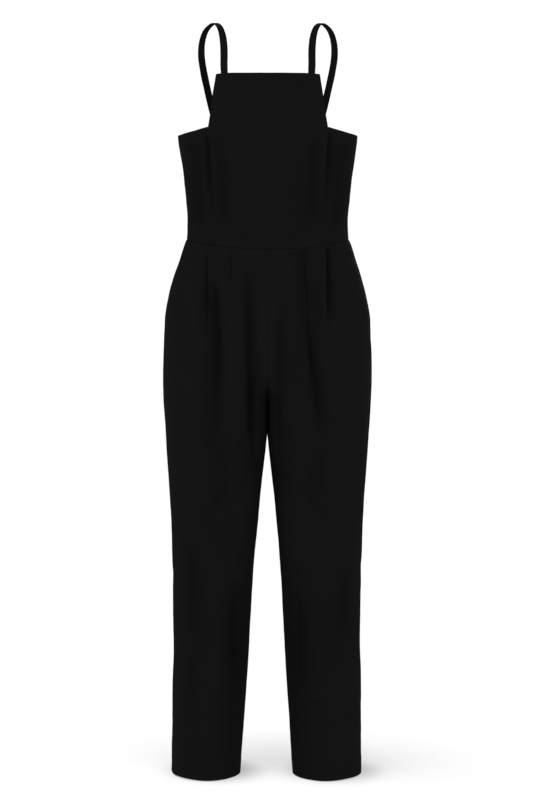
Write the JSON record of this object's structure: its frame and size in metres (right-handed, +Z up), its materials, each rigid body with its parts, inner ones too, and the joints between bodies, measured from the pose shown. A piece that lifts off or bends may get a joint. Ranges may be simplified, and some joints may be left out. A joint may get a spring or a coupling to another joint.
{
  "type": "jumpsuit",
  "caption": "Sleeveless jumpsuit with a square bib front, narrow shoulder straps, pleated waist and long straight legs, in its worn hollow form.",
  "frame": {"origin": "midway between the undersides of the two shoulder straps at their tops, where the shoulders carry the garment", "axes": "+Z up; the front faces -Y; +X towards the wearer's left"},
  "size_m": [0.3716, 0.2676, 1.3472],
  "materials": {
    "crepe": "matt black woven crepe with a fine grain",
    "zip_tape": "matt black woven tape",
    "zip_metal": "black lacquered zinc, satin"
  },
  "bodies": {
    "garment": {"bib_front": "crepe", "side_front_left": "crepe", "side_front_right": "crepe", "back_bodice_left": "crepe", "back_bodice_right": "crepe", "strap_left": "crepe", "strap_right": "crepe", "trouser_front_left": "crepe", "trouser_front_right": "crepe", "trouser_back_left": "crepe", "trouser_back_right": "crepe", "zip_tape_left": "zip_tape", "zip_tape_right": "zip_tape", "zip_slider": "zip_metal"},
    "zip_pull": {"zip_pull": "zip_metal"}
  },
  "joints": [
    {"name": "zip_pull_hinge", "type": "hinge", "parent": "garment", "child": "zip_pull", "pos_m": [0, 0.10757, -0.204], "axis": [1, 0, 0], "range_deg": [0, 170]}
  ]
}
